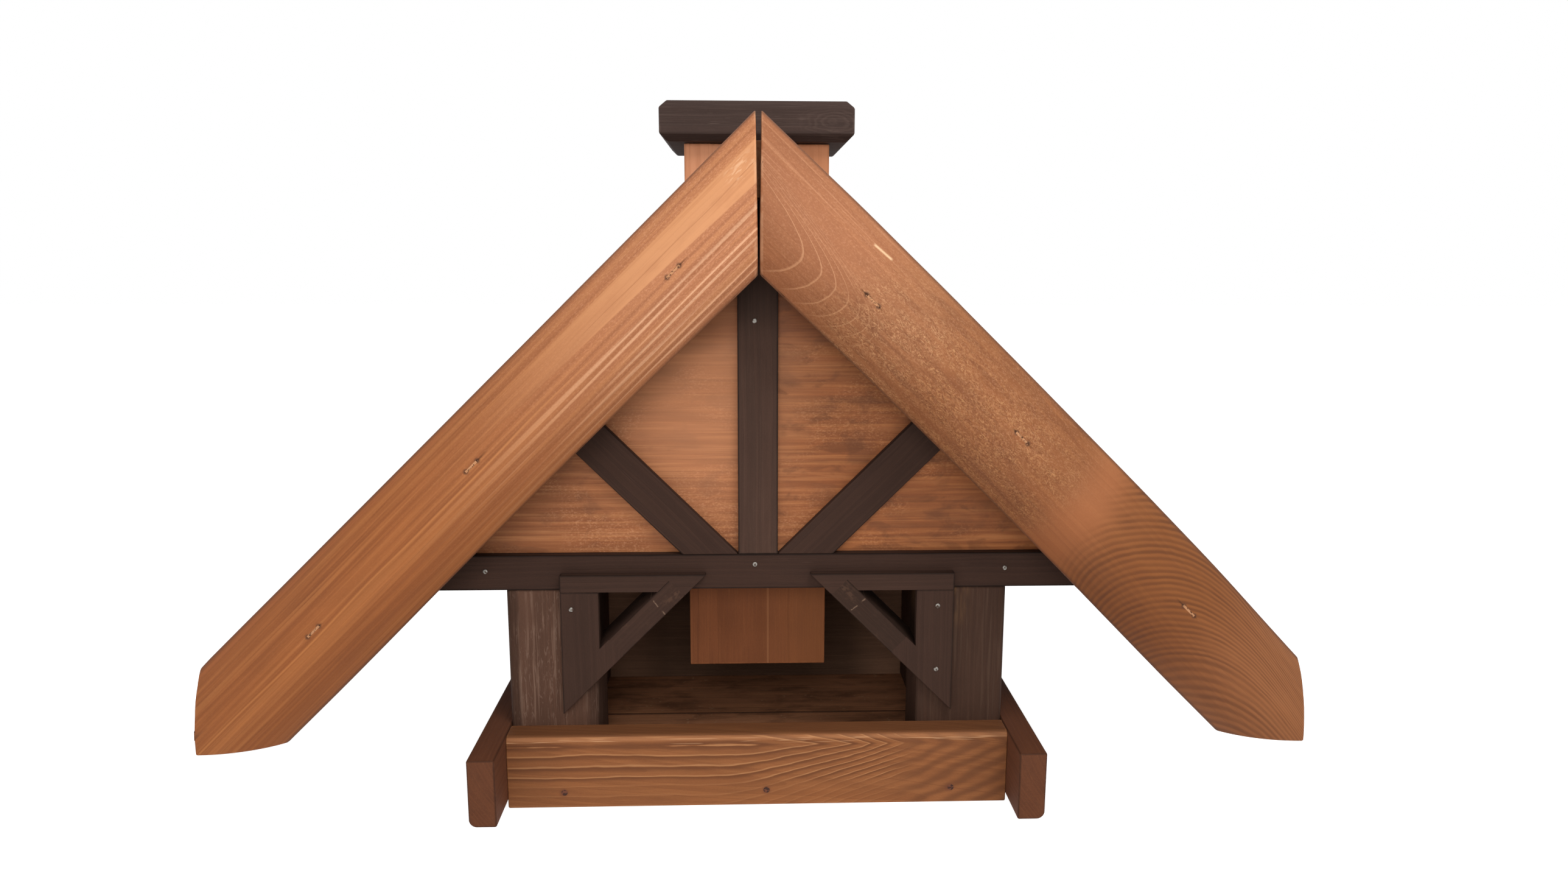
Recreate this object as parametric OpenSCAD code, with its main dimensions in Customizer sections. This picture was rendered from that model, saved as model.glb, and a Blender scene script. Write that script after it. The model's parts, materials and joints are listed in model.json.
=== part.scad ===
// Timber-framed bird feeder house with a seed silo that is filled through its chimney.
// Millimetres. +X is to the right, +Y to the back, +Z up, and the front faces -Y.
// The origin is on the ground, midway between the sides and midway between front and back.

/* [Base] */
// Width between the side rails, which is also the width over the posts
base_w = 320; // [290:5:350]
// Depth from the face of the front rail to the face of the rear rail
base_d = 200; // [190:5:230]
// Height of the front and rear rails, which stand on the ground
rail_h = 48; // [42:1:56]
// Thickness of the front and rear rails
rail_t = 18; // [15:0.5:20]
// Rounding along the upper outer edge of the front and rear rails
rail_round = 4; // [2:0.5:6]
// Height of the side rails' and the floor's undersides above the ground
side_lift = 4.5; // [2:0.5:10]
// Thickness of the side rails
side_t = 17; // [14:0.5:22]
// How far the side rails run on past the front and rear rails
side_over = 32; // [15:1:38]
// Rounding along the lower outer edge of the side rails
side_round = 5; // [2:0.5:7]
// Thickness of the floor boards
floor_t = 14; // [10:0.5:18]

/* [Posts and tie beams] */
// Width of the front posts
post_w = 57; // [45:1:64]
// Depth of the front posts; the rear posts are the same timber, turned
post_d = 45; // [35:1:50]
// Rounding of the front posts' outer corner
post_round = 5; // [2:0.5:8]
// Height of the underside of the tie beams above the ground
beam_z = 139; // [130:1:150]
// Height of the tie beams
beam_h = 22.5; // [18:0.5:28]
// Thickness of the back board
back_t = 12; // [9:0.5:15]

/* [Timber frame on the gables] */
// Width of the king posts and struts
stud_w = 25; // [18:0.5:30]
// Thickness of the king posts and struts
stud_t = 6; // [4:0.5:9]
// Slope of the struts
strut_angle = 45; // [40:1:50]
// Thickness of the gable boards
gable_t = 12; // [9:0.5:15]

/* [Knee braces] */
// How far the braces stand in front of the posts and the tie beam
brace_t = 6; // [4:0.5:8]
// How far the upright of a brace covers the post beside it
upright_w = 22; // [16:0.5:26]
// How far the upright of a brace stands out past the post into the triangle
upright_lip = 2; // [1:0.5:3]
// Height of the top member of a brace
top_member_h = 11; // [8:0.5:14]
// Width of the diagonal of a brace
diag_w = 14; // [10:0.5:18]
// Length of the level and the upright side of the open triangle in a brace
triangle_leg = 37.5; // [30:0.5:45]
// How far the diagonal's upper joint lies past the corner of the triangle
joint_top = 10; // [6:0.5:11]
// How far the diagonal's lower joint lies inside the corner of the triangle
joint_foot = 8.5; // [4:0.5:12]

/* [Roof] */
// Slope of the roof
roof_pitch = 44.5; // [43:0.5:46]
// Height of the ridge of the rake boards
ridge_z = 430; // [420:1:450]
// Width across the eaves
roof_w = 664; // [620:2:700]
// Width of the half-round rake boards
rake_w = 66; // [62:1:74]
// Height of the square sides of a half-round board
slat_side = 12; // [10:0.5:13]
// Height of the round face above the square sides
slat_crown = 16; // [12:0.5:18]
// How far the back of the rake boards lies in front of the rails
rake_over = 12; // [6:1:30]
// Width of the joint between the rake boards at the ridge
ridge_joint = 3.2; // [1:0.2:5]
// Width of the same joint at its foot
ridge_joint_foot = 0.6; // [0.4:0.1:1]
// How far the crowns of the roof boards lie below the edge of the rake boards
cover_drop = 4; // [2:0.5:5]
// How far down the slope the roof boards start
cover_start = 8; // [6:0.5:11]
// Joint between one roof board and the next
board_joint = 0.6; // [0.3:0.1:1]
// Diameter of the pole that closes the ridge
pole_d = 32; // [28:1:34]
// Thickness of the rafters behind the rake boards
rafter_t = 18; // [14:0.5:18]
// Depth of the rafters below the roof boards
rafter_h = 27; // [20:0.5:29]

/* [Silo and cap] */
// Outside width of the square silo tube
silo_w = 91; // [84:1:95]
// Thickness of the silo boards
silo_t = 11; // [8:0.5:13]
// Height of the silo's mouth above the ground
silo_z = 74; // [64:1:84]
// Width of the bearers that hold the silo
bearer_w = 16; // [12:1:22]
// Height of the bearers that hold the silo
bearer_h = 24; // [18:1:30]
// How far the chimney stands above the ridge pole
chimney_rise = 4; // [2:0.5:20]
// Width of the square cap
cap_w = 120; // [112:1:130]
// Thickness of the cap
cap_t = 24.5; // [18:0.5:28]
// Chamfer along the cap's edges
cap_chamfer = 4.5; // [2:0.5:7]
// Depth of the block under the cap that drops into the chimney
plug_h = 15; // [10:1:20]
// Clearance all round that block
plug_gap = 1.5; // [1:0.25:3]

/* [Nails] */
// Diameter of the short nails in the timber frame
short_nail_d = 1.4; // [1.2:0.1:1.8]
// Diameter of the short nails' heads
short_head_d = 2.8; // [2.4:0.1:4]
// Length of the short nails
short_nail_l = 14; // [12:0.5:16]
// Diameter of the long nails in the rails
long_nail_d = 2; // [1.6:0.1:2.6]
// Diameter of the long nails' heads
long_head_d = 4; // [3.4:0.1:5]
// How far a long nail or a staple reaches into the second piece
hold = 14; // [10:0.5:15]
// Width of the staples in the rake boards
staple_w = 10; // [8:0.5:12]
// Thickness of the staples' square wire
staple_wire = 1.4; // [1.2:0.1:1.6]
// How deep the staples are driven below the rake boards' faces
staple_sunk = 0.4; // [0.2:0.1:0.8]
// Height of the king post's nail above the tie beam
king_nail_up = 147.5; // [60:0.5:190]
// How far the king post's nail and the tie beam's middle nail lie off the middle
nail_aside = 2; // [0:0.5:8]
// Height of the tie beam's middle nail above its underside
beam_nail_up = 16; // [6:0.5:17]
// Height of the tie beam's outer nails above its underside
outer_nail_up = 12.5; // [6:0.5:17]
// How far the tie beam's left nail lies outside the posts
left_nail_out = 12; // [4:1:30]
// How far the tie beam's right nail lies inside the posts' outer sides
right_nail_in = 2; // [0:1:20]
// How far the left brace's nail lies past the post's inner side
left_brace_nail_in = 15; // [4:0.5:16]
// Depth of the left brace's nail below the tie beam
left_brace_nail_drop = 11; // [6:0.5:60]
// How far the right brace's nails lie past the post's inner side
right_brace_nail_in = 11.5; // [4:0.5:16]
// Depth of the right brace's upper nail below the tie beam
right_brace_nail_drop = 10.5; // [6:0.5:30]
// Depth of the right brace's lower nail below the tie beam
lower_brace_nail_drop = 53; // [40:0.5:60]
// Distance of the outer nails from the ends of the front and rear rails
rail_nail_inset = 36; // [20:1:60]
// How far the middle nail of the front rail lies right of the middle
rail_nail_aside = 5; // [0:0.5:12]
// Height of the nails in the front and rear rails above the ground
rail_nail_z = 10; // [8:0.5:14]
// Distances of the left rake board's staples down its slope
left_staples = [97, 256, 392]; // [60:1:420]
// Depths of the left rake board's staples below its outer edge
left_staple_drops = [31, 28, 30.5]; // [25:0.5:31]
// Distances of the right rake board's staples down its slope
right_staples = [119.5, 237, 384.5]; // [60:0.5:420]
// Depths of the right rake board's staples below its outer edge
right_staple_drops = [31, 25.5, 27]; // [25:0.5:31]

/* [Hidden] */
$fn = 48;
RAKE_COLOR = "#a8744c";
GABLE_COLOR = "#8a5c40";
RAIL_COLOR = "#7d4f33";
SIDE_COLOR = "#5e3827";
DARK_COLOR = "#3c302a";
POST_COLOR = "#5c4838";
SILO_COLOR = "#6b4630";
NAIL_COLOR = "silver";

seat_gap = 0.3;        // between the cap and the chimney, and between the pole and the roof boards
slip_gap = 0.5;        // round the silo where it passes the tie beams and the roof
end_gap = 0.5;         // past the point of a nail, and from the roof boards to the eave line
rafter_inset = 3;      // how far the rafters stay inside the rake boards' eave cuts
shank_gap = 0.03;      // all round a nail
short_head_t = 0.8;
long_head_t = 1.2;
boards_per_side = 6;

half_w = base_w / 2;
half_d = base_d / 2;
side_h = rail_h - side_lift;
floor_z = side_lift + floor_t;
frame_y = half_d - rail_t;                       // face of the posts and the tie beams
post_in = half_w - post_w;                       // inner side of the front posts
beam_top = beam_z + beam_h;
silo_half = silo_w / 2;
silo_room = silo_half + slip_gap;
beam_d = frame_y - silo_room;                    // the tie beams run close past the silo
gable_y = frame_y - stud_t;                      // face of the gable boards

slat_t = slat_side + slat_crown;
soffit_depth = cover_drop + slat_t;              // roof boards' underside below the rake's edge
soffit_z = ridge_z - soffit_depth / cos(roof_pitch);
rake_y = half_d + rake_over;                     // back of the rake boards
eave_x = roof_w / 2;
eave_z = ridge_z - eave_x * tan(roof_pitch) - rake_w / 2 / cos(roof_pitch);
cover_end = (eave_x - end_gap - slat_side * sin(roof_pitch)) / cos(roof_pitch);
board_step = (cover_end - cover_start + board_joint) / boards_per_side;
board_w = board_step - board_joint;
pole_z = soffit_z + (pole_d / 2 + seat_gap - cover_start) / sin(roof_pitch);
peak_z = pole_z - pole_d / 2 - seat_gap;         // gables and rafters end level under the pole

chimney_z = pole_z + pole_d / 2 + chimney_rise;
silo_in = silo_w - 2 * silo_t;
cap_z = chimney_z + seat_gap;

brace_x = post_in - upright_lip;                 // the triangle's upright side
brace_out = post_in + upright_w;                 // outer side of the brace's upright
diag_l = triangle_leg * sqrt(2);                 // the triangle's long side

// Short nails, as places [x, z] on the king post, the tie beam and the braces' uprights
king_nails = [[-nail_aside, beam_top + king_nail_up]];
beam_nails = [
    [-half_w - left_nail_out, beam_z + outer_nail_up],
    [-nail_aside, beam_z + beam_nail_up],
    [half_w - right_nail_in, beam_z + outer_nail_up]
];
left_brace_nails = [[-post_in - left_brace_nail_in, beam_z - left_brace_nail_drop]];
right_brace_nails = [
    for (drop = [right_brace_nail_drop, lower_brace_nail_drop])
        [post_in + right_brace_nail_in, beam_z - drop]
];
// Long nails, as places [x, z] on the rails
rail_nails = [
    for (across = [rail_nail_inset - half_w, rail_nail_aside, half_w - rail_nail_inset])
        [across, rail_nail_z]
];

// How far a staple's outer face lies above the rake board's flat back
function crown_r(w) = (w * w / 4 + slat_crown * slat_crown) / (2 * slat_crown);
function staple_y(drop) =
    let (off = rake_w / 2 - drop)
    slat_t - staple_sunk - crown_r(rake_w) + sqrt(crown_r(rake_w) * crown_r(rake_w) - off * off);

// ---- helpers ----

// Extrudes an outline drawn in X and Z from y = from to y = to.
module along_y(from, to) {
    translate([0, to, 0])
        rotate([90, 0, 0])
            linear_extrude(to - from)
                children();
}

module to_left() {
    mirror([1, 0, 0])
        children();
}

module to_rear() {
    mirror([0, 1, 0])
        children();
}

// A box from one corner to the opposite one.
module block(low, high) {
    translate(low)
        cube(high - low);
}

// A w by h outline whose upper right corner is rounded.
module rounded_corner(w, h, round_r) {
    difference() {
        square([w, h]);
        translate([w - round_r, h - round_r])
            difference() {
                square(round_r + 1);
                circle(round_r);
            }
    }
}

// Outline of a half-round board of width w, flat side down on the X axis.
module half_round(w) {
    round_r = crown_r(w);
    intersection() {
        square([w, slat_t]);
        translate([w / 2, slat_t - round_r])
            circle(round_r);
    }
}

// ---- nails and staples ----

module short_nail(place, face_y) {
    translate([place[0], face_y, place[1]])
        rotate([-90, 0, 0]) {
            translate([0, 0, -short_head_t])
                cylinder(h = short_head_t, d = short_head_d);
            cylinder(h = short_nail_l, d = short_nail_d);
        }
}

module short_nail_hole(place, face_y) {
    translate([place[0], face_y - 1, place[1]])
        rotate([-90, 0, 0])
            cylinder(h = short_nail_l + end_gap + 1, d = short_nail_d + 2 * shank_gap);
}

// A long nail lies flush in the front rail, its head let into the face.
module long_nail(place) {
    translate([place[0], -half_d, place[1]])
        rotate([-90, 0, 0]) {
            cylinder(h = long_head_t, d = long_head_d);
            cylinder(h = rail_t + hold, d = long_nail_d);
        }
}

module rail_nail_holes() {
    for (place = rail_nails)
        translate([place[0], -half_d - 1, place[1]])
            rotate([-90, 0, 0]) {
                cylinder(h = 1 + long_head_t, d = long_head_d + 2 * shank_gap);
                cylinder(h = 1 + rail_t + hold + end_gap, d = long_nail_d + 2 * shank_gap);
            }
}

// A U of square wire in the right slope, its crown along X and its legs along Y, with slack all round.
module staple(along, drop, slack = 0) {
    arm = staple_wire + 2 * slack;
    leg_l = staple_y(drop) + hold;
    at_staple(along, drop)
        translate([-staple_w / 2 - slack, -slack, -arm / 2]) {
            cube([staple_w + 2 * slack, arm, arm]);
            for (side = [0, staple_w - staple_wire])
                translate([side, 0, 0])
                    cube([arm, leg_l + slack, arm]);
        }
}

// Sets its children on the right slope: X runs down the slope, Y into the rake board.
module at_staple(along, drop) {
    translate([0, -rake_y - staple_y(drop), ridge_z])
        rotate([0, roof_pitch, 0])
            translate([along, 0, -drop])
                children();
}

// The slots of a row of staples are open to the front.
module staple_slots(alongs, drops) {
    for (i = [0 : len(alongs) - 1]) {
        staple(alongs[i], drops[i], shank_gap);
        at_staple(alongs[i], drops[i])
            block(
                [-staple_w / 2 - shank_gap, -slat_crown, -staple_wire / 2 - shank_gap],
                [staple_w / 2 + shank_gap, staple_wire / 2, staple_wire / 2 + shank_gap]
            );
    }
}

module front_short_nails() {
    for (place = concat(king_nails, beam_nails))
        short_nail(place, -frame_y);
}

module front_long_nails() {
    for (place = rail_nails)
        long_nail(place);
}

module front_staples() {
    for (i = [0 : len(right_staples) - 1])
        staple(right_staples[i], right_staple_drops[i]);
    to_left()
        for (i = [0 : len(left_staples) - 1])
            staple(left_staples[i], left_staple_drops[i]);
}

module short_nails() {
    color(NAIL_COLOR) {
        front_short_nails();
        to_rear()
            front_short_nails();
        for (place = concat(left_brace_nails, right_brace_nails))
            short_nail(place, -frame_y - brace_t);
    }
}

module long_nails() {
    color(NAIL_COLOR) {
        front_long_nails();
        to_rear()
            front_long_nails();
    }
}

module rake_staples() {
    color(NAIL_COLOR) {
        front_staples();
        to_rear()
            front_staples();
    }
}

// ---- base ----

module front_rail() {
    color(RAIL_COLOR)
        difference() {
            translate([-half_w, 0, 0])
                rotate([90, 0, 90])
                    linear_extrude(base_w)
                        translate([-frame_y, 0])
                            mirror([1, 0])
                                rounded_corner(rail_t, rail_h, rail_round);
            rail_nail_holes();
        }
}

module rear_rail() {
    to_rear()
        front_rail();
}

// The side rails' lower outer edge is rounded.
module right_side_rail() {
    color(SIDE_COLOR)
        along_y(-half_d - side_over, half_d + side_over)
            translate([half_w, rail_h])
                mirror([0, 1])
                    rounded_corner(side_t, side_h, side_round);
}

module left_side_rail() {
    to_left()
        right_side_rail();
}

module front_floor_board() {
    color(POST_COLOR)
        difference() {
            block([-half_w, -frame_y, side_lift], [half_w, -board_joint / 2, floor_z]);
            rail_nail_holes();
        }
}

module rear_floor_board() {
    to_rear()
        front_floor_board();
}

// ---- posts, tie beams and back board ----

module front_right_post() {
    color(POST_COLOR)
        difference() {
            translate([0, 0, floor_z])
                linear_extrude(beam_z - floor_z)
                    translate([post_in, post_d - frame_y])
                        mirror([0, 1])
                            rounded_corner(post_w, post_d, post_round);
            for (place = right_brace_nails)
                short_nail_hole(place, -frame_y - brace_t);
        }
}

module front_left_post() {
    color(POST_COLOR)
        difference() {
            translate([0, 0, floor_z])
                linear_extrude(beam_z - floor_z)
                    translate([-post_in, post_d - frame_y])
                        rotate(180)
                            rounded_corner(post_w, post_d, post_round);
            for (place = left_brace_nails)
                short_nail_hole(place, -frame_y - brace_t);
        }
}

module rear_right_post() {
    color(POST_COLOR)
        block([half_w - post_d, frame_y - post_w, floor_z], [half_w, frame_y, beam_z]);
}

module rear_left_post() {
    to_left()
        rear_right_post();
}

module back_board() {
    color(DARK_COLOR)
        block([post_d - half_w, frame_y - back_t, floor_z], [half_w - post_d, frame_y, beam_z]);
}

// Everything under the roof boards and above height low, up to the level cut under the pole.
module roof_outline(low) {
    low_x = (soffit_z - low) / tan(roof_pitch);
    peak_x = (soffit_z - peak_z) / tan(roof_pitch);
    polygon([[-low_x, low], [low_x, low], [peak_x, peak_z], [-peak_x, peak_z]]);
}

// The tie beams' ends follow the slope of the roof.
module front_tie_beam() {
    color(DARK_COLOR)
        difference() {
            along_y(-frame_y, beam_d - frame_y)
                intersection() {
                    roof_outline(beam_z);
                    translate([-eave_x, beam_z])
                        square([roof_w, beam_h]);
                }
            for (place = beam_nails)
                short_nail_hole(place, -frame_y);
        }
}

module rear_tie_beam() {
    to_rear()
        front_tie_beam();
}

// ---- gables ----

module front_gable_board() {
    color(GABLE_COLOR)
        difference() {
            along_y(-gable_y, gable_t - gable_y)
                roof_outline(beam_top);
            for (place = king_nails)
                short_nail_hole(place, -frame_y);
        }
}

module rear_gable_board() {
    to_rear()
        front_gable_board();
}

module front_king_post() {
    color(DARK_COLOR)
        difference() {
            along_y(-frame_y, -gable_y)
                intersection() {
                    roof_outline(beam_top);
                    translate([-stud_w / 2, beam_top])
                        square([stud_w, ridge_z - beam_top]);
                }
            for (place = king_nails)
                short_nail_hole(place, -frame_y);
        }
}

module rear_king_post() {
    to_rear()
        front_king_post();
}

// A strut rises from the foot of the king post to the roof boards.
module front_right_strut() {
    color(DARK_COLOR)
        along_y(-frame_y, -gable_y)
            intersection() {
                roof_outline(beam_top);
                translate([stud_w / 2, beam_top])
                    rotate(strut_angle)
                        translate([0, -stud_w])
                            square([eave_x, stud_w]);
            }
}

module front_left_strut() {
    to_left()
        front_right_strut();
}

module rear_right_strut() {
    to_rear()
        front_right_strut();
}

module rear_left_strut() {
    to_left()
        rear_right_strut();
}

// ---- knee braces ----

// A point beside the triangle's long side: along it from its upper end, and off it to the outside.
function on_diagonal(along, off) =
    [brace_x - triangle_leg + (along + off) / sqrt(2), beam_z + (off - along) / sqrt(2)];

module brace_layer() {
    along_y(-frame_y - brace_t, -frame_y)
        children();
}

module right_brace_top() {
    color(DARK_COLOR)
        brace_layer()
            polygon([
                [brace_out, beam_z],
                [brace_out, beam_z + top_member_h],
                on_diagonal(-diag_w - top_member_h * sqrt(2), -diag_w),
                on_diagonal(-joint_top, -diag_w),
                on_diagonal(-joint_top, 0),
                on_diagonal(0, 0)
            ]);
}

module left_brace_top() {
    to_left()
        right_brace_top();
}

module brace_upright() {
    brace_layer()
        polygon([
            [brace_out, beam_z],
            [brace_x, beam_z],
            on_diagonal(diag_l, 0),
            on_diagonal(diag_l - joint_foot, 0),
            on_diagonal(diag_l - joint_foot, -diag_w),
            on_diagonal((brace_out - brace_x + triangle_leg) * sqrt(2) + diag_w, -diag_w)
        ]);
}

module right_brace_upright() {
    color(DARK_COLOR)
        difference() {
            brace_upright();
            for (place = right_brace_nails)
                short_nail_hole(place, -frame_y - brace_t);
        }
}

module left_brace_upright() {
    color(DARK_COLOR)
        difference() {
            to_left()
                brace_upright();
            for (place = left_brace_nails)
                short_nail_hole(place, -frame_y - brace_t);
        }
}

// Behind its face, the diagonal is as deep as the tie beam and fills the corner under it.
module right_brace_diagonal() {
    reach = diag_l + upright_lip * sqrt(2);
    color(DARK_COLOR) {
        brace_layer()
            polygon([
                on_diagonal(-joint_top, 0),
                on_diagonal(diag_l - joint_foot, 0),
                on_diagonal(diag_l - joint_foot, -diag_w),
                on_diagonal(-joint_top, -diag_w)
            ]);
        along_y(-frame_y, beam_d - frame_y)
            polygon([
                on_diagonal(0, 0),
                on_diagonal(reach, 0),
                on_diagonal(reach + diag_w, -diag_w),
                on_diagonal(-diag_w, -diag_w)
            ]);
    }
}

module left_brace_diagonal() {
    to_left()
        right_brace_diagonal();
}

// ---- roof ----

// The rake boards end in an upright cut and a level cut, which meet at half their width.
module rake_board() {
    joint_foot_z = ridge_z - rake_w / cos(roof_pitch);
    intersection() {
        translate([0, 0, ridge_z])
            rotate([0, roof_pitch, 0])
                translate([-rake_w, 0, 0])
                    rotate([90, 0, 90])
                        linear_extrude(roof_w)
                            translate([-rake_y, -rake_w])
                                rotate(90)
                                    half_round(rake_w);
        along_y(-rake_y - slat_t, -rake_y)
            polygon([
                [ridge_joint / 2, ridge_z],
                [eave_x, ridge_z],
                [eave_x, eave_z],
                [ridge_joint_foot / 2, eave_z],
                [ridge_joint_foot / 2, joint_foot_z]
            ]);
    }
}

module front_right_rake() {
    color(RAKE_COLOR)
        difference() {
            rake_board();
            staple_slots(right_staples, right_staple_drops);
        }
}

module front_left_rake() {
    color(RAKE_COLOR)
        to_left()
            difference() {
                rake_board();
                staple_slots(left_staples, left_staple_drops);
            }
}

module rear_right_rake() {
    to_rear()
        front_right_rake();
}

module rear_left_rake() {
    to_rear()
        front_left_rake();
}

module front_right_rafter() {
    color(DARK_COLOR)
        along_y(-rake_y, rafter_t - rake_y)
            intersection() {
                roof_outline(eave_z + rafter_inset);
                translate([ridge_joint_foot / 2, eave_z])
                    square([eave_x - rafter_inset - ridge_joint_foot / 2, ridge_z - eave_z]);
                translate([0, soffit_z])
                    rotate(-roof_pitch)
                        translate([-rafter_h, -rafter_h])
                            square([roof_w, rafter_h]);
            }
}

module front_left_rafter() {
    to_left()
        front_right_rafter();
}

module rear_right_rafter() {
    to_rear()
        front_right_rafter();
}

module rear_left_rafter() {
    to_left()
        rear_right_rafter();
}

// Roof board i of one slope, counted from the ridge, with the rake boards' staples in its ends.
module roof_board(i, alongs, drops) {
    color(RAKE_COLOR)
        difference() {
            along_y(-rake_y, rake_y)
                translate([0, soffit_z])
                    rotate(-roof_pitch)
                        translate([cover_start + (i - 1) * board_step, 0])
                            half_round(board_w);
            block([-silo_room, -silo_room, 0], [silo_room, silo_room, ridge_z]);
            staple_slots(alongs, drops);
            to_rear()
                staple_slots(alongs, drops);
        }
}

module right_roof_board(i) {
    roof_board(i, right_staples, right_staple_drops);
}

module left_roof_board(i) {
    to_left()
        roof_board(i, left_staples, left_staple_drops);
}

module front_ridge_pole() {
    color(RAKE_COLOR)
        along_y(-rake_y, -silo_room)
            translate([0, pole_z])
                circle(d = pole_d);
}

module rear_ridge_pole() {
    to_rear()
        front_ridge_pole();
}

// ---- silo and cap ----

module front_silo_board() {
    color(SILO_COLOR)
        block([-silo_half, -silo_half, silo_z], [silo_half, silo_t - silo_half, chimney_z]);
}

module rear_silo_board() {
    to_rear()
        front_silo_board();
}

module right_silo_board() {
    color(SILO_COLOR)
        block([silo_in / 2, -silo_in / 2, silo_z], [silo_half, silo_in / 2, chimney_z]);
}

module left_silo_board() {
    to_left()
        right_silo_board();
}

// The bearers lie on the tie beams, between the gable boards.
module right_silo_bearer() {
    color(DARK_COLOR)
        block(
            [silo_half, gable_t - gable_y, beam_top],
            [silo_half + bearer_w, gable_y - gable_t, beam_top + bearer_h]
        );
}

module left_silo_bearer() {
    to_left()
        right_silo_bearer();
}

// The cap's outline in X and Z, or in Y and Z, with a chamfer at each corner.
module cap_outline() {
    flat = cap_w / 2 - cap_chamfer;
    polygon([
        [-flat, 0], [flat, 0],
        [cap_w / 2, cap_chamfer], [cap_w / 2, cap_t - cap_chamfer],
        [flat, cap_t], [-flat, cap_t],
        [-cap_w / 2, cap_t - cap_chamfer], [-cap_w / 2, cap_chamfer]
    ]);
}

module cap() {
    color(DARK_COLOR)
        translate([0, 0, cap_z])
            intersection() {
                along_y(-cap_w / 2, cap_w / 2)
                    cap_outline();
                rotate(90)
                    along_y(-cap_w / 2, cap_w / 2)
                        cap_outline();
            }
}

module cap_plug() {
    plug_half = silo_in / 2 - plug_gap;
    color(DARK_COLOR)
        block([-plug_half, -plug_half, cap_z - plug_h], [plug_half, plug_half, cap_z]);
}

// ---- nodes ----

front_rail();
rear_rail();
left_side_rail();
right_side_rail();
front_floor_board();
rear_floor_board();
back_board();
front_left_post();
front_right_post();
rear_left_post();
rear_right_post();
front_tie_beam();
rear_tie_beam();
front_gable_board();
rear_gable_board();
front_king_post();
rear_king_post();
front_left_strut();
front_right_strut();
rear_left_strut();
rear_right_strut();
left_brace_upright();
left_brace_top();
left_brace_diagonal();
right_brace_upright();
right_brace_top();
right_brace_diagonal();
front_left_rake();
front_right_rake();
rear_left_rake();
rear_right_rake();
front_left_rafter();
front_right_rafter();
rear_left_rafter();
rear_right_rafter();
left_roof_board(1);  // left_roof_board_1
left_roof_board(2);  // left_roof_board_2
left_roof_board(3);  // left_roof_board_3
left_roof_board(4);  // left_roof_board_4
left_roof_board(5);  // left_roof_board_5
left_roof_board(6);  // left_roof_board_6
right_roof_board(1);  // right_roof_board_1
right_roof_board(2);  // right_roof_board_2
right_roof_board(3);  // right_roof_board_3
right_roof_board(4);  // right_roof_board_4
right_roof_board(5);  // right_roof_board_5
right_roof_board(6);  // right_roof_board_6
front_ridge_pole();
rear_ridge_pole();
front_silo_board();
rear_silo_board();
left_silo_board();
right_silo_board();
left_silo_bearer();
right_silo_bearer();
cap();
cap_plug();
short_nails();
long_nails();
rake_staples();
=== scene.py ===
"""Dresses the bird feeder house: worked timber, stains, nail heads, studio and camera."""
import json
import math

import bmesh
import bpy
from mathutils import Euler, Matrix, Vector

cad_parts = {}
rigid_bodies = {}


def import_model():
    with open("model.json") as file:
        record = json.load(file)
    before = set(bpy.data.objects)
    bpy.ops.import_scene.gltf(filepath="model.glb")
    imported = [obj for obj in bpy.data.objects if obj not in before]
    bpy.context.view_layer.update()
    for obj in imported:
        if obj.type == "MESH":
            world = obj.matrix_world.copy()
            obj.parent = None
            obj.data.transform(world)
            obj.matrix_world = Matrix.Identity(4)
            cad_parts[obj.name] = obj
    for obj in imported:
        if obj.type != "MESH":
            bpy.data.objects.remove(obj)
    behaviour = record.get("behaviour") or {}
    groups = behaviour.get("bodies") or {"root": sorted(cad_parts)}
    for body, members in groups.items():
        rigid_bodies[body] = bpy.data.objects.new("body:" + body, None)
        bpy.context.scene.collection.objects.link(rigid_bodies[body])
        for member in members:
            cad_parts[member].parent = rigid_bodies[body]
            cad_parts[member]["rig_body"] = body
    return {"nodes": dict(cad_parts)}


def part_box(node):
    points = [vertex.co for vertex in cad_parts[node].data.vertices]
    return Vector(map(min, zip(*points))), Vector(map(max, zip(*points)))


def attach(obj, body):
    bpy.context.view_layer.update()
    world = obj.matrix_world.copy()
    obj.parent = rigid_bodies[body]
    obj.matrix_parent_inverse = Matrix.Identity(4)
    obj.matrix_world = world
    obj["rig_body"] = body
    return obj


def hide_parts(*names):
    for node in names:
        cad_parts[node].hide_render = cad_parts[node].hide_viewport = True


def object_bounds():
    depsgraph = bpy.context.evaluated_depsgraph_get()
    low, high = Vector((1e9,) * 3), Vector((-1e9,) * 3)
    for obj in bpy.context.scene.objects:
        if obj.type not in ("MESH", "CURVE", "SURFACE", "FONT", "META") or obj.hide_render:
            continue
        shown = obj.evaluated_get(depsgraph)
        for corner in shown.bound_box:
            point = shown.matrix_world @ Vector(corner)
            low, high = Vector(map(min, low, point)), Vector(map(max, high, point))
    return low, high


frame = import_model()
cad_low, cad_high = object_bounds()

MM = 0.001
WELD = 0.01 * MM                 # corners this near to each other are one
ROOF_PITCH = math.radians(44.5)
RIDGE_JOINT = 3.2 * MM           # the open joint between the two front boards at the ridge
RIDGE = Vector((0, 0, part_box("front_right_rake")[1].z + RIDGE_JOINT / 2 * math.tan(ROOF_PITCH)))
SLOPE_L = 465 * MM               # the rake boards' length down the slope
RAKE_W = 69 * MM                 # the room for their width, with their swell
NAIL_HEAD_T = 0.8 * MM

# How a board's own frame is turned: its X runs along the grain, its Y to the back or the side,
# and its Z across the grain.
LEVEL = (0, 0, 0)
UPRIGHT = (0, math.radians(-90), 0)
FRONT_TO_BACK = (0, 0, math.radians(90))
DOWN_RIGHT = (0, ROOF_PITCH, 0)
DOWN_LEFT = (0, math.pi - ROOF_PITCH, 0)


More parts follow.
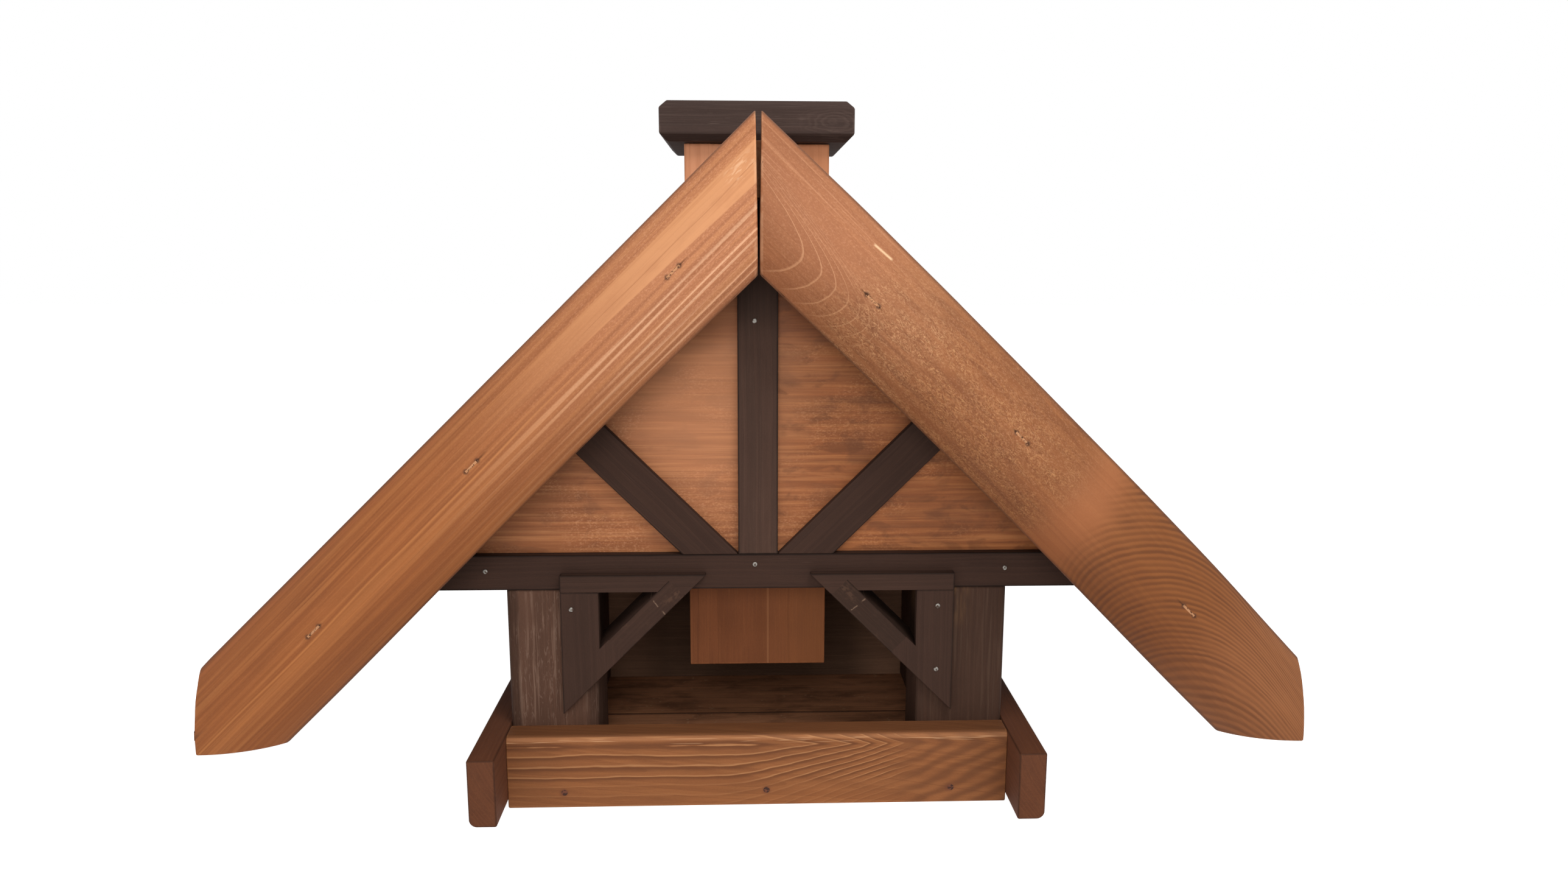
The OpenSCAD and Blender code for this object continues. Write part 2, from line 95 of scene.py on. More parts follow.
# ---- camera, light and floor ----

def make_camera():
    """Stands a little above the rails and turned slightly to the left of the gable."""
    pitch, yaw, roll = (math.radians(angle) for angle in (10.074, 2.054, 0.164))
    side = Vector((math.cos(yaw), -math.sin(yaw), 0))
    ahead = Vector((math.sin(yaw), math.cos(yaw), 0))
    look = math.cos(pitch) * ahead - math.sin(pitch) * Vector((0, 0, 1))
    up = math.sin(pitch) * ahead + math.cos(pitch) * Vector((0, 0, 1))
    right = math.cos(roll) * side + math.sin(roll) * up
    top = math.cos(roll) * up - math.sin(roll) * side
    data = bpy.data.cameras.new("camera")
    data.lens = 25.155
    data.sensor_width = 36
    camera = bpy.data.objects.new("camera", data)
    bpy.context.scene.collection.objects.link(camera)
    place = Matrix((right, top, -look)).transposed().to_4x4()
    place.translation = Vector((-0.00785, -0.75414, 0.35354))
    camera.matrix_world = place
    bpy.context.scene.camera = camera


def soft_lamp(name, place, aim, width, power, tint):
    """A round lamp so wide, at a place, turned to the point it is aimed at."""
    data = bpy.data.lights.new(name, "AREA")
    data.shape = "DISK"
    data.size = width
    data.energy = power
    data.color = tint
    lamp = bpy.data.objects.new(name, data)
    bpy.context.scene.collection.objects.link(lamp)
    lamp.location = place
    lamp.rotation_euler = (Vector(aim) - Vector(place)).to_track_quat("-Z", "Y").to_euler()


def seen_directly(tree):
    """1 for what the camera, a reflection or glass sees, 0 for what only lights the object."""
    path = tree.nodes.new("ShaderNodeLightPath")
    share = path.outputs["Is Camera Ray"]
    for other in ("Is Glossy Ray", "Is Transmission Ray"):
        both = tree.nodes.new("ShaderNodeMath")
        both.operation = "MAXIMUM"
        tree.links.new(share, both.inputs[0])
        tree.links.new(path.outputs[other], both.inputs[1])
        share = both.outputs[0]
    return share


def make_studio():
    """A white room with a soft lamp in front of the gable, one above it and one on either side."""
    world = bpy.data.worlds.new("room")
    bpy.context.scene.world = world
    world.use_nodes = True
    tree = world.node_tree
    room = tree.nodes["Background"]
    room.inputs["Color"].default_value = (1, 1, 1, 1)
    strength = tree.nodes.new("ShaderNodeMapRange")
    tree.links.new(seen_directly(tree), strength.inputs["Value"])
    strength.inputs["To Min"].default_value = 0.4
    strength.inputs["To Max"].default_value = 1.0
    tree.links.new(strength.outputs[0], room.inputs["Strength"])
    warm, mild = (1.0, 0.98, 0.95), (1.0, 0.98, 0.96)
    soft_lamp("front lamp", (-0.06, -0.95, 0.5), (0, 0, 0.27), 0.4, 2.9, warm)
    soft_lamp("high lamp", (0.35, -0.75, 1.15), (0, 0, 0.3), 0.5, 5.4, warm)
    soft_lamp("left lamp", (-1.5, -1.2, 0.6), (0, 0, 0.2), 1.0, 2.4, mild)
    soft_lamp("right lamp", (1.5, -1.2, 0.6), (0, 0, 0.2), 1.0, 1.6, mild)
    bpy.context.scene.view_settings.view_transform = "Standard"


def make_floor():
    """A white floor just under the rails, which looks as white as the room."""
    bpy.ops.object.select_all(action="DESELECT")
    bpy.ops.mesh.primitive_plane_add(size=12, location=(0, 0, cad_low.z - 0.2 * MM))
    floor = bpy.context.object
    floor.name = "floor"
    material = bpy.data.materials.new("white floor")
    material.use_nodes = True
    tree = material.node_tree
    paint = tree.nodes["Principled BSDF"]
    paint.inputs["Base Color"].default_value = (0.82, 0.82, 0.82, 1)
    paint.inputs["Roughness"].default_value = 0.9
    paint.inputs["Specular IOR Level"].default_value = 0.0
    paint.inputs["Emission Color"].default_value = (1, 1, 1, 1)
    glow = tree.nodes.new("ShaderNodeMath")
    glow.operation = "MULTIPLY"
    glow.inputs[1].default_value = 0.86
    tree.links.new(seen_directly(tree), glow.inputs[0])
    tree.links.new(glow.outputs[0], paint.inputs["Emission Strength"])
    floor.data.materials.append(material)


# ---- finishes ----

def stain(red, green, blue):
    """A colour as a paint chart writes it, 0 to 255, made linear."""
    def linear(level):
        level /= 255
        return level / 12.92 if level <= 0.04045 else ((level + 0.055) / 1.055) ** 2.4
    return (linear(red), linear(green), linear(blue), 1.0)


def darker(colour):
    """The same stain laid on twice."""
    return tuple(level * 0.45 for level in colour[:3]) + (1.0,)


def feed(socket, value):
    """Links a value that varies to a socket, and sets a constant on the socket itself."""
    if isinstance(value, Amount):
        value = value.socket
    if isinstance(value, bpy.types.NodeSocket):
        socket.id_data.links.new(value, socket)
    else:
        socket.default_value = value


class Amount:
    """A number that varies over a surface. Each sum done with it lays down a node."""

    def __init__(self, socket):
        self.socket = socket

    def node(self, kind):
        return self.socket.id_data.nodes.new(kind)

    def work_out(self, operation, first, second=0.0):
        """One sum, with a number or another amount on either side."""
        node = self.node("ShaderNodeMath")
        node.operation = operation
        feed(node.inputs[0], first)
        feed(node.inputs[1], second)
        return Amount(node.outputs[0])

    def __add__(self, other):
        return self.work_out("ADD", self, other)

    def __radd__(self, other):
        return self.work_out("ADD", other, self)

    def __sub__(self, other):
        return self.work_out("SUBTRACT", self, other)

    def __rsub__(self, other):
        return self.work_out("SUBTRACT", other, self)

    def __mul__(self, other):
        return self.work_out("MULTIPLY", self, other)

    def __truediv__(self, other):
        return self.work_out("DIVIDE", self, other)

    def __pow__(self, power):
        return self.work_out("POWER", self, power)

    def __abs__(self):
        return self.work_out("ABSOLUTE", self)

    def root(self):
        return self.work_out("SQRT", self)

    def fract(self):
        """What is left of it past the last whole number."""
        return self.work_out("FRACT", self)

    def at_least(self, other):
        return self.work_out("MAXIMUM", self, other)

    def at_most(self, other):
        return self.work_out("MINIMUM", self, other)

    def rise(self, start, end):
        """0 before start, 1 after end, and smooth between. It falls where start lies past end."""
        node = self.node("ShaderNodeMapRange")
        node.interpolation_type = "SMOOTHSTEP"
        feed(node.inputs["Value"], self)
        node.inputs["From Min"].default_value = min(start, end)
        node.inputs["From Max"].default_value = max(start, end)
        node.inputs["To Min"].default_value = 1 if start > end else 0
        node.inputs["To Max"].default_value = 0 if start > end else 1
        return Amount(node.outputs[0])

    def between(self, start, end, soft):
        """1 between start and end, and 0 outside."""
        return self.rise(start - soft, start + soft) * self.rise(end + soft, end - soft)


class Finish:
    """One finish: its colour and height so far, in the board's own frame of millimetres."""

    def __init__(self, name, centre, turn, colour):
        self.material = bpy.data.materials.new(name)
        self.material.use_nodes = True
        self.tree = self.material.node_tree
        self.shader = self.tree.nodes["Principled BSDF"]
        source = self.tree.nodes.new("ShaderNodeTexCoord")
        mapping = self.tree.nodes.new("ShaderNodeMapping")
        mapping.vector_type = "TEXTURE"
        mapping.inputs["Location"].default_value = centre
        mapping.inputs["Rotation"].default_value = turn
        mapping.inputs["Scale"].default_value = (MM, MM, MM)
        feed(mapping.inputs["Vector"], source.outputs["Object"])
        self.place = mapping.outputs[0]
        split = self.tree.nodes.new("ShaderNodeSeparateXYZ")
        feed(split.inputs[0], self.place)
        self.along, self.behind, self.across = (Amount(socket) for socket in split.outputs)
        self.colour, self.height = colour, None

    def noise(self, along, across, detail, seed, swirl=0.0, turn=0.0):
        """Cloudy noise whose spots are so long and so wide, in millimetres."""
        mapping = self.tree.nodes.new("ShaderNodeMapping")
        mapping.inputs["Location"].default_value = (seed, seed * 0.7, seed * 0.3)
        mapping.inputs["Rotation"].default_value = (0, turn, 0)
        mapping.inputs["Scale"].default_value = (1 / along, 1 / across, 1 / across)
        feed(mapping.inputs["Vector"], self.place)
        node = self.tree.nodes.new("ShaderNodeTexNoise")
        feed(node.inputs["Vector"], mapping.outputs[0])
        node.inputs["Scale"].default_value = 1.0
        node.inputs["Detail"].default_value = detail
        node.inputs["Roughness"].default_value = 0.55
        node.inputs["Distortion"].default_value = swirl
        return Amount(node.outputs["Fac"])

    def lay(self, share, over, way="MIX"):
        """Lays a colour over a share of the surface."""
        node = self.tree.nodes.new("ShaderNodeMix")
        node.data_type = "RGBA"
        node.blend_type = way
        feed(node.inputs["Factor"], share)
        feed(node.inputs[6], self.colour)
        feed(node.inputs[7], over)
        self.colour = node.outputs[2]

    def paint(self, share, strength, over):
        """Lays a stain over a share of the surface, at a strength from 0 to 1."""
        self.lay(share * strength, over)

    def tint(self, share, *wash):
        """Lays a thin wash, given as what it lets through, over a share of the surface."""
        self.lay(share, (*wash, 1.0), "MULTIPLY")

    def shade(self, amount):
        """Multiplies the colour by an amount that may vary."""
        node = self.tree.nodes.new("ShaderNodeVectorMath")
        node.operation = "SCALE"
        feed(node.inputs[0], self.colour)
        feed(node.inputs["Scale"], amount)
        self.colour = node.outputs[0]

    def rings(self, pith, lean, width, wander, seed):
        """Growth rings round a pith line: 0 at a year's first wood, 1 at its last."""
        sway = self.noise(170, 60, 1.0, seed) - 0.5
        drift = self.noise(60, 22, 2.0, seed + 9) - 0.5
        side = self.behind - pith[0] + self.along * lean[0]
        off = self.across - pith[1] + self.along * lean[1]
        off = off + (sway * wander + drift * (wander * 0.35))
        radius = (side * side + off * off).root()
        weather = self.tree.nodes.new("ShaderNodeTexNoise")
        weather.noise_dimensions = "1D"
        weather.inputs["Scale"].default_value = 1 / (3.5 * width)
        weather.inputs["Detail"].default_value = 2.0
        feed(weather.inputs["W"], radius)
        uneven = radius + Amount(weather.outputs["Fac"]) * (7.0 * width)
        return (uneven / width).fract()

    def spot(self, along, across, width):
        """1 at a place, falling to 0 at half a width from it."""
        run, drop = self.along - along, self.across - across
        return (run * run + drop * drop).root().rise(width / 2, width / 6)

    def edge_distance(self, half):
        """How far the nearest long edge of a box-shaped board is, in millimetres."""
        places = self.along, self.behind, self.across
        reach = [size - abs(place) for size, place in zip(half, places)]
        low = reach[0].at_most(reach[1])
        high = reach[0].at_least(reach[1])
        return low.at_least(high.at_most(reach[2]))

    def cut_scratches(self, length, width, amount, turn, seed):
        """Sparse thin strokes: 1 in a stroke."""
        stroke = self.noise(length, width, 1.0, seed, 0.15, turn)
        sparse = self.noise(length * 0.8, width * 18, 1.0, seed + 4, 0.0, turn)
        return stroke.rise(0.66, 0.74) * sparse.rise(0.72 - amount, 0.8 - amount)

    def close(self, roughness, depth):
        """Joins colour, roughness and a relief of depth millimetres to the shader."""
        feed(self.shader.inputs["Base Color"], self.colour)
        feed(self.shader.inputs["Roughness"], roughness)
        bump = self.tree.nodes.new("ShaderNodeBump")
        bump.inputs["Strength"].default_value = 1.0
        bump.inputs["Distance"].default_value = depth * MM
        feed(bump.inputs["Height"], self.height)
        feed(self.shader.inputs["Normal"], bump.outputs[0])
        return self.material


def timber(name, centre, turn, half, base, deep, pale, pith=(-90, 60), lean=(0, 0), year=4.5,
           wander=8.0, lines=0.45, streaks=0.35, specks=0.2, wear=0.3, edge_line=0.0, scratches=0.0,
           gloss=0.42, shine=0.32, relief=0.12, seed=1.0, figure=None):
    """A stained softwood board: rings, fibres, pores, patches, worn edges and scratches."""
    f = Finish(name, centre, turn, base)
    age = f.rings(pith, lean, year, wander, seed)
    late = age.rise(0.55, 0.93) * age.rise(1.0, 0.95)
    soft = age.rise(0.1, 0.8)
    fibre = f.noise(38, 0.75, 3.0, seed + 2)
    hair = f.noise(14, 0.32, 2.0, seed + 3)
    cloud = f.noise(85, 20, 3.0, seed + 5)
    patch = f.noise(30, 12, 2.0, seed + 6, 0.6)
    f.paint(soft, 0.45, deep)
    show = f.noise(150, 9, 2.0, seed + 8).rise(0.3, 0.62)
    f.paint(late * show, lines, pale)
    f.paint(fibre.rise(0.52, 0.78), streaks, pale)
    f.paint(fibre.rise(0.48, 0.25), streaks, deep)
    f.paint(hair.rise(0.36, 0.22), specks, darker(deep))
    grit = f.noise(1.3, 0.5, 2.0, seed + 10)
    f.shade(0.6 + (cloud * 0.34 + (patch * 0.22 + grit * 0.24)))
    f.height = late * 0.45 + (fibre * 0.7 + hair * 0.3)
    if figure:
        figure(f)
    edge = f.edge_distance(half)
    rub = edge.rise(1.6, 0.3) * f.noise(16, 4, 2.0, seed + 7).rise(0.36, 0.62)
    f.paint(rub, wear, pale)
    # A dark line along the edges: partly stain gathered there and partly painted shade of the
    # joints and gaps.
    if edge_line:
        f.paint(edge.rise(1.5, 0.3), edge_line, darker(darker(deep)))
    if scratches:
        level = f.cut_scratches(22, 0.5, scratches, 0.0, seed + 11)
        slanting = f.cut_scratches(16, 0.45, scratches * 0.6, 1.15, seed + 13)
        scuff = level.at_least(slanting)
        f.paint(scuff, 0.5, pale)
        f.height -= scuff * 0.6
    rough = 1.0 - gloss + (fibre * 0.22 + cloud * 0.12)
    f.shader.inputs["Specular IOR Level"].default_value = shine
    return f.close(rough.at_most(0.95), relief)


# ---- worked timber ----

def pick(piece):
    """Selects one piece alone and makes it the active one."""
    bpy.ops.object.select_all(action="DESELECT")
    piece.select_set(True)
    bpy.context.view_layer.objects.active = piece


def outer_edges(mesh):
    """Selects the sharp edges on the outside of a board, and not those of its nail holes."""
    points = [vert.co.copy() for vert in mesh.verts]
    outside = {}
    for face in mesh.faces:
        reach = max((point - face.verts[0].co).dot(face.normal) for point in points)
        outside[face] = reach < 0.05 * MM
    for edge in mesh.edges:
        sharp = len(edge.link_faces) == 2 and edge.calc_face_angle(0) > math.radians(24)
        edge.select_set(sharp and all(outside[face] for face in edge.link_faces))


def worked_copy(node, edge_round, cuts=()):
    """A copy of a node's solid with eased edges, cut by planes given as points and normals."""
    piece = bpy.data.objects.new(node + "_worked", frame["nodes"][node].data.copy())
    bpy.context.scene.collection.objects.link(piece)
    piece.data.materials.clear()
    pick(piece)
    bpy.ops.object.mode_set(mode="EDIT")
    bpy.ops.mesh.select_mode(type="EDGE")
    bpy.ops.mesh.select_all(action="SELECT")
    bpy.ops.mesh.remove_doubles(threshold=WELD)
    bpy.ops.mesh.dissolve_limited(angle_limit=math.radians(0.4))
    bpy.ops.mesh.select_all(action="DESELECT")
    mesh = bmesh.from_edit_mesh(piece.data)
    outer_edges(mesh)
    bmesh.update_edit_mesh(piece.data)
    bpy.ops.mesh.bevel(offset=edge_round, segments=3, profile=0.5, clamp_overlap=False)
    for point, normal in cuts:
        bpy.ops.mesh.select_all(action="SELECT")
        bpy.ops.mesh.bisect(plane_co=point, plane_no=normal)
    bpy.ops.mesh.select_all(action="SELECT")
    bpy.ops.mesh.remove_doubles(threshold=0.05 * MM)
    bpy.ops.mesh.dissolve_degenerate(threshold=0.02 * MM)
    bpy.ops.object.mode_set(mode="OBJECT")
    keep_in_box(piece, node)
    return piece


def keep_in_box(piece, node):
    """Moves what a worked piece holds past its node's box back to the box."""
    low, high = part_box(node)
    for vert in piece.data.vertices:
        vert.co = [min(max(vert.co[axis], low[axis]), high[axis]) for axis in range(3)]


def finish_piece(piece, node, material):
    """Smooths, colours and hangs a worked piece in its node's place."""
    pick(piece)
    bpy.ops.object.shade_smooth_by_angle(angle=math.radians(40))
    weigh = piece.modifiers.new("even faces", "WEIGHTED_NORMAL")
    weigh.keep_sharp = True
    bpy.ops.object.modifier_apply(modifier=weigh.name)
    piece.data.materials.clear()
    piece.data.materials.append(material)
    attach(piece, frame["nodes"][node]["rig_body"])
    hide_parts(node)


def corners(points):
    """The low and the high corner of the box round some points."""
    return [Vector(pick_end(point[axis] for point in points) for axis in range(3))
            for pick_end in (min, max)]


def middle_and_half(node, turn):
    """A turned board's middle, and its half sizes along, behind and across, in millimetres."""
    turned = Euler(turn).to_matrix()
    back = turned.transposed()
    low, high = corners([back @ vert.co for vert in frame["nodes"][node].data.vertices])
    return turned @ (low + high) / 2, (high - low) / 2 / MM


def straight_board(node, turn, edge_round=0.7 * MM, **look):
    """A board with eased edges and its own stain."""
    centre, half = middle_and_half(node, turn)
    piece = worked_copy(node, edge_round)
    finish_piece(piece, node, timber(node + " stain", centre, turn, half, **look))


# ---- rake boards ----

def right_lift(along):
    """How far the right rake board's outer edge swells past a straight one, in millimetres."""
    swell, swell_at, end_drop, end_run = 4.4, 320, 1.7, 106
    if along < swell_at:
        return swell * (1 - (1 - along / swell_at) ** 2.8)
    return swell - end_drop * ((along - swell_at) / end_run) ** 2


def left_lift(along):
    """The left rake board swells a little towards its eave."""
    return 1.8 * (along * MM / SLOPE_L) ** 1.5


def crook(most, start, length):
    """A hollow along an inner edge: how deep it is, where it starts and how long it is."""
    def bow(along):
        share = (along - start) / length
        return most * math.sin(math.pi * share) if 0 < share < 1 else 0.0
    return bow


def slope_axes(side):
    """The directions down a roof slope and out of it, for the left (-1) or the right (1)."""
    cos, sin = math.cos(ROOF_PITCH), math.sin(ROOF_PITCH)
    return Vector((side * cos, 0, -sin)), Vector((side * sin, 0, cos))


def swell_rake(piece, node, lift, bow, side):
    """Moves a rake board's outer edge by its lift and its inner edge by its bow, with a lattice."""
    rows, ranks, thick = 8, 4, 80 * MM
    row, rank = SLOPE_L / (rows - 1), RAKE_W / (ranks - 1)
    data = bpy.data.lattices.new("bow")
    data.points_u, data.points_v, data.points_w = rows, 1, ranks
    data.interpolation_type_u = "KEY_CARDINAL"
    data.interpolation_type_w = "KEY_LINEAR"
    lattice = bpy.data.objects.new("bow", data)
    bpy.context.scene.collection.objects.link(lattice)
    down, outward = slope_axes(side)
    turn = Matrix((down, outward.cross(down), outward)).transposed().to_4x4()
    centre = RIDGE + down * SLOPE_L / 2 - outward * RAKE_W / 2
    centre.y = sum(corner.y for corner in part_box(node)) / 2
    scale = Matrix.Diagonal((row, thick, rank, 1))
    lattice.matrix_world = Matrix.Translation(centre) @ turn @ scale
    for index, point in enumerate(data.points):
        along = index % rows * row / MM
        edges = {0: bow(along), ranks - 1: lift(along)}
        shift = edges.get(index // rows, 0)
        point.co_deform = point.co_deform + Vector((0, 0, shift * MM / rank))
    pick(piece)
    modifier = piece.modifiers.new("bow", "LATTICE")
    modifier.object = lattice
    bpy.context.view_layer.update()
    bpy.ops.object.modifier_apply(modifier=modifier.name)
    bpy.data.objects.remove(lattice)


def rake(node, side, lift, bow, figure, **look):
    """A rake board. Its stain's frame starts at the ridge, with across from the outer edge."""
    def from_outer_edge(f):
        f.across = f.across * -side
        if figure:
            figure(f)
    down, outward = slope_axes(side)
    slice_l, slice_w = 12 * MM, 11 * MM
    cuts = [(RIDGE + down * slice_l * step, down) for step in range(1, 42)]
    cuts += [(RIDGE - outward * slice_w * step, outward) for step in range(1, 6)]
    piece = worked_copy(node, 1.3 * MM, cuts)
    swell_rake(piece, node, lift, bow, side)
    keep_in_box(piece, node)
    turn = DOWN_RIGHT if side > 0 else DOWN_LEFT
    no_edges = (900, 200, 900)
    material = timber(node + " stain", RIDGE, turn, no_edges, figure=from_outer_edge, **look)
    finish_piece(piece, node, material)


# ---- grain figures ----

# Places are in millimetres: along and across from a board's middle, and on a rake board along
# from the ridge and across from its outer edge. A noise takes the length and width of its spots,
# how much detail they have, and a seed.

def left_rake_figure(f):
    """Bands and thin light lines that run down from the ridge and fade towards the eave."""
    near = f.along.rise(340, 60)
    sway = (f.noise(260, 60, 1.0, 31) - 0.5) * 4.0
    level = f.across + sway
    dots = f.noise(1.3, 0.8, 2.0, 37)
    # Lighter near the ridge: partly the wood's tone and partly painted light, as the lamps fall off
    # down the slope.
    f.paint(near, 0.4 + f.across.rise(30, 40) * 0.15, stain(198, 134, 98))
    band = level.rise(11.4, 12.4) * (level + f.along * 0.03).rise(30.4, 29.6)
    band = band * f.along.rise(270, 90)
    bare = 1.0 - band
    lower = level.rise(34, 36) * level.rise(66, 61)
    year = ((level - 29) * (1 / 36)).at_least(0.0) ** 1.4
    year = (year * 8.0 + f.noise(300, 7, 2.0, 33) * 1.6).fract()
    line = year.rise(0.56, 0.74) * year.rise(1.0, 0.86)
    line = line * lower * f.noise(120, 5, 1.0, 35).rise(0.3, 0.55)
    streak = f.noise(260, 2.6, 2.0, 34)
    f.paint(line, 0.04 + near * 0.78, stain(238, 184, 144))
    f.paint(year.rise(0.0, 0.2) * year.rise(0.5, 0.3), near * lower * 0.3, stain(150, 92, 58))
    f.paint(streak.rise(0.5, 0.62), 0.3, stain(206, 142, 92))
    f.paint(streak.rise(0.48, 0.36), 0.34, stain(132, 75, 39))
    f.paint(band, 0.8, stain(212, 150, 104))
    f.paint(f.noise(120, 1.6, 2.0, 29).rise(0.52, 0.66) * band, 0.3, stain(184, 120, 78))
    f.paint(f.noise(20, 7, 2.0, 30).rise(0.5, 0.7) * band, 0.25, stain(180, 118, 78))
    hairline = (level + f.noise(90, 40, 1.0, 38) * 5.0).between(23.2, 23.7, 0.3)
    f.paint(hairline * band, 0.45, stain(158, 98, 60))
    f.paint(level.rise(4.6, 2.2) * streak.rise(0.4, 0.6), 0.4, stain(160, 90, 56))
    # Light flecks are painted glints of the rough surface; dark flecks are specks in the wood.
    f.paint(dots.rise(0.5, 0.7) * bare, 0.04 + near * 0.24, stain(226, 166, 128))
    f.paint(dots.rise(0.5, 0.3) * bare, 0.04 + near * 0.2, stain(148, 90, 60))
    rub = f.along.between(22, 40, 7) * level.between(13, 22, 3)
    rub = rub * f.noise(5, 1.2, 2.0, 40).rise(0.5, 0.66)
    f.paint(rub, 0.4, stain(240, 200, 164))
    drift = level + (f.noise(120, 200, 1.0, 39) - 0.5) * 6.0
    far = f.along.rise(110, 230)
    f.paint(drift.between(33.4, 34.4, 0.5) * far, 0.45, stain(222, 156, 102))
    f.paint(drift.between(38.5, 41.5, 1.5) * far, 0.25, stain(214, 146, 96))
    # Darker and deeper in colour towards the eave: partly the wood's tone and partly painted
    # fall-off of the light.
    f.tint(f.along.rise(90, 330), 0.88, 0.76, 0.56)
    # Painted shade: the inner, lower half darker further down the slope, as the light falls from
    # above.
    inner = f.across.rise(25, 60) * f.along.rise(60, 200)
    f.tint(inner, 0.9, 0.88, 0.84)
    # Painted light: brighter near the ridge.
    f.shade(0.95 + f.along.rise(240, 10) * 0.1)
    staple_pits(f, ((97, 31), (256, 28), (392, 30.5)))
    mitre_edge(f, 0.5)


def torn_grain(f):
    """Crinkled marks where the surface runs level with the growth rings: pale torn fibre, partly
    painted glints, and dark pits.
    """
    area = (f.along + f.across * 0.4).rise(100, 150) * f.along.rise(300, 262)
    rough = area * f.noise(40, 8, 2.0, 45).rise(0.32, 0.54)
    rough = rough * (0.35 + f.across.rise(4, 20) * 0.65)
    swirl = (f.noise(7, 4, 2.0, 43, 0.8) * 9.0).fract()
    curl = swirl.rise(0.1, 0.3) * swirl.rise(0.6, 0.38) * rough
    curl = curl * f.noise(3.0, 1.6, 1.0, 48).rise(0.4, 0.56)
    crinkle = f.noise(2.4, 1.2, 3.0, 51, 1.2)
    fleck = crinkle.rise(0.5, 0.62) * rough
    pit = crinkle.rise(0.46, 0.34) * rough
    smear = area * f.noise(36, 6, 2.0, 52).rise(0.5, 0.66)
    f.tint(area, 0.88, 0.88, 0.82)
    f.paint(smear, 0.45, stain(122, 72, 42))
    # Pale flecks and curls: partly pale torn fibre and partly painted glints.
    f.paint(fleck, 0.46, stain(210, 154, 112))
    f.paint(pit, 0.5, stain(122, 72, 42))
    f.paint(curl, 0.5, stain(226, 172, 124))
    f.tint(area * f.along.rise(140, 190), 0.86, 0.79, 0.68)
    f.height += (curl + fleck) * 0.8 - pit * 0.6


def right_rake_figure(f):
    """Arches by the ridge, torn grain in the middle, a smooth patch, ring arcs at the eave, and
    painted shade over the inner half.
    """
    ripple = (f.noise(24, 16, 3.0, 41) - 0.5) * 6.0
    above = (45 - f.across).at_least(0.0)
    below = (f.across - 45).at_least(0.0)
    bent = above ** 2.6 * 0.022 + below * below * 0.034
    arch = f.along + bent + ripple * 0.5
    arch_line = ((arch * (1 / 120)) ** 2.4 * 6).fract()
    arched = arch.between(66, 138, 6)
    f.paint(f.along.rise(150, 40), 0.4, stain(170, 110, 76))
    f.paint(arch_line.rise(0.1, 0.7) * arched, 0.22, stain(146, 90, 58))
    thin = arch_line.rise(0.86, 0.94) * arch_line.rise(1.0, 0.97) * arched
    thin = thin * f.noise(40, 14, 1.0, 42).rise(0.2, 0.45) * f.across.rise(68, 54)
    f.paint(thin, 0.6, stain(220, 164, 124))
    fan = f.noise(110, 1.7, 1.0, 53, 0.0, 0.12)
    fanned = f.along.rise(150, 90) * f.across.rise(36, 24)
    f.paint(fan.rise(0.56, 0.68) * fanned, 0.35, stain(214, 156, 116))
    torn_grain(f)
    dots = f.noise(1.3, 0.8, 2.0, 50)
    sparkle = f.along.rise(320, 260)
    # Light flecks are painted glints of the rough surface; dark flecks are specks in the wood.
    f.paint(dots.rise(0.5, 0.7) * sparkle, 0.2, stain(222, 166, 128))
    f.paint(dots.rise(0.5, 0.3) * sparkle, 0.2, stain(138, 84, 54))
    f.paint(f.along.between(284, 312, 10), 0.5, stain(176, 110, 70))
    eave_arcs(f, ripple)
    splinter = f.along.between(99, 112, 1.0)
    splinter = splinter * (f.across + (f.along - 105) * 0.08).between(7.0, 8.2, 0.5)
    f.paint(splinter, 0.85, stain(246, 204, 160))
    # Painted shade: the inner, lower half darker, as the light falls from above.
    f.tint(f.across.rise(18, 58), 0.78, 0.72, 0.64)
    f.tint(f.along.rise(70, 10), 0.86, 0.82, 0.78)
    f.tint(f.along.between(270, 430, 45), 0.86, 0.8, 0.68)
    f.tint(f.along.between(325, 405, 24), 0.88, 0.83, 0.66)
    staple_pits(f, ((119.5, 31), (237, 25.5), (384.5, 27)))
    mitre_edge(f, 0.25)
    f.height += splinter * 2.0


def eave_arcs(f, ripple):
    """Dark ring arcs: their tops lie on one slanting line, and their sides fall steeply."""
    cos, sin = math.cos(ROOF_PITCH), math.sin(ROOF_PITCH)
    side = f.along * cos - f.across * sin
    below = f.along * sin + f.across * cos
    deep = below - 252
    reach = abs(side - 226 - deep * 0.476)
    sag = reach ** 2.3 * (0.0028 + deep * 0.000042)
    level = deep - sag + ripple * 0.35
    narrow_year, wide_year, wide_from = 3.7, 6.2, 66
    wide = (level - wide_from).at_least(0)
    count = (level - wide) * (1 / narrow_year) + wide * (1 / wide_year)
    ring = (count + f.noise(60, 30, 1.0, 54) * 0.6).fract()
    eave = (f.along + f.across * -0.2).rise(292, 318)
    dark = ring.rise(0.15, 0.55) * ring.rise(1.0, 0.72) * eave
    dark = dark * (0.6 + f.noise(30, 16, 2.0, 49).rise(0.3, 0.6) * 0.4)
    strong = abs((count * 0.23).fract() * 2 - 1)
    dark = dark * (0.55 + strong * 0.45)
    f.paint(eave, 0.6, stain(146, 90, 48))
    f.paint(dark, 0.62, stain(92, 50, 22))
    f.height -= dark * 0.5


def staple_pits(f, places):
    """Dark pits where the staples' legs went in, up and down the slope from each middle."""
    for along, drop in places:
        for leg in (-4.6, 4.6):
            pit = f.spot(along + leg, drop, 4.6)
            f.paint(pit, 0.75, stain(74, 44, 28))


